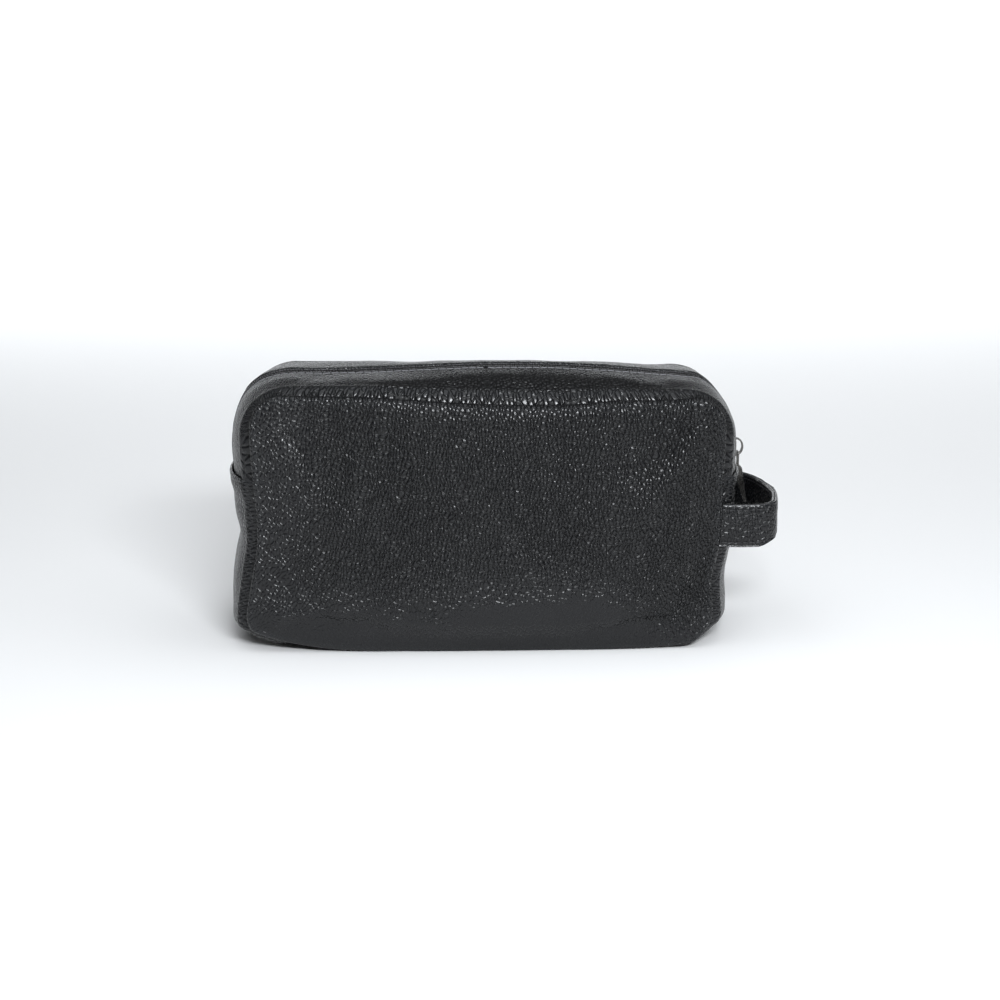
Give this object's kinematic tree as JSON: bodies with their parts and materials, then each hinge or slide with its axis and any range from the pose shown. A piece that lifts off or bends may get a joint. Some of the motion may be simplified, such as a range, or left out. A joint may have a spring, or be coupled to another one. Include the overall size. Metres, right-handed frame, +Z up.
{
  "type": "makeup bag",
  "caption": "Soft leather wash bag with crowned panels, a zipped top gusset that opens as two lips, a lining and a side wrist loop.",
  "frame": {"origin": "middle of the flat underside, on the surface the bag stands on", "axes": "+X to the side with the wrist loop and the closed end of the zip, +Y to the back, +Z up"},
  "size_m": [0.2928, 0.1084, 0.1491],
  "materials": {
    "leather": "black pebble-grained leather, semi-matt with soft highlights",
    "lining": "black plain-weave polyester lining",
    "zip_tape": "black woven zip tape",
    "zip_coil": "black nylon coil, satin",
    "zip_metal": "dark nickel plating, lightly worn"
  },
  "bodies": {
    "shell": {"front_panel": "leather", "back_panel": "leather", "base_gusset": "leather", "zip_gusset_front_right": "leather", "zip_gusset_front_left": "leather", "zip_gusset_back_right": "leather", "zip_gusset_back_left": "leather", "lining_front": "lining", "lining_back": "lining", "lining_base": "lining", "lining_zip_front_right": "lining", "lining_zip_front_left": "lining", "lining_zip_back_right": "lining", "lining_zip_back_left": "lining", "zip_tape_front_right": "zip_tape", "zip_tape_front_left": "zip_tape", "zip_tape_back_right": "zip_tape", "zip_tape_back_left": "zip_tape", "zip_coil_front_right": "zip_coil", "zip_coil_front_left": "zip_coil", "zip_coil_back_right": "zip_coil", "zip_coil_back_left": "zip_coil", "zip_top_stop_front": "zip_metal", "zip_top_stop_back": "zip_metal", "zip_bottom_stop": "zip_metal"},
    "front_lip": {"zip_gusset_front_top": "leather", "zip_tape_front_top": "zip_tape", "zip_coil_front_top": "zip_coil", "lining_zip_front_top": "lining"},
    "back_lip": {"zip_gusset_back_top": "leather", "zip_tape_back_top": "zip_tape", "zip_coil_back_top": "zip_coil", "lining_zip_back_top": "lining"},
    "slider": {"slider_body": "zip_metal", "slider_bridge": "zip_metal"},
    "link": {"pull_link": "zip_metal"},
    "tab": {"pull_tab": "zip_metal"},
    "loop": {"loop_outer": "leather", "loop_inner": "leather"}
  },
  "joints": [
    {"name": "front_lip_fold", "type": "hinge", "parent": "shell", "child": "front_lip", "pos_m": [0, -0.042, 0.1363], "axis": [1, 0, 0], "range_deg": [0, 95]},
    {"name": "back_lip_fold", "type": "hinge", "parent": "shell", "child": "back_lip", "pos_m": [0, 0.042, 0.1363], "axis": [-1, 0, 0], "range_deg": [0, 95]},
    {"name": "slider_run", "type": "hinge", "parent": "shell", "child": "slider", "pos_m": [0.094, 0, 0.1045], "axis": [0, -1, 0], "range_deg": [0, 88], "deforming": ["zip_coil_front_right", "zip_coil_back_right", "zip_tape_front_right", "zip_tape_back_right"]},
    {"name": "link_swing", "type": "hinge", "parent": "slider", "child": "link", "pos_m": [0.138, 0, 0.0979], "axis": [0, -1, 0], "range_deg": [-2.5, 21]},
    {"name": "tab_swing", "type": "hinge", "parent": "link", "child": "tab", "pos_m": [0.138, 0, 0.0882], "axis": [0, -1, 0], "range_deg": [-9, 18]},
    {"name": "loop_flex", "type": "hinge", "parent": "shell", "child": "loop", "pos_m": [0.1272, 0, 0.0673], "axis": [0, -1, 0], "range_deg": [-20, 35], "stiffness_Nm_per_rad": 0.06, "deforming": ["loop_outer", "loop_inner"]}
  ]
}
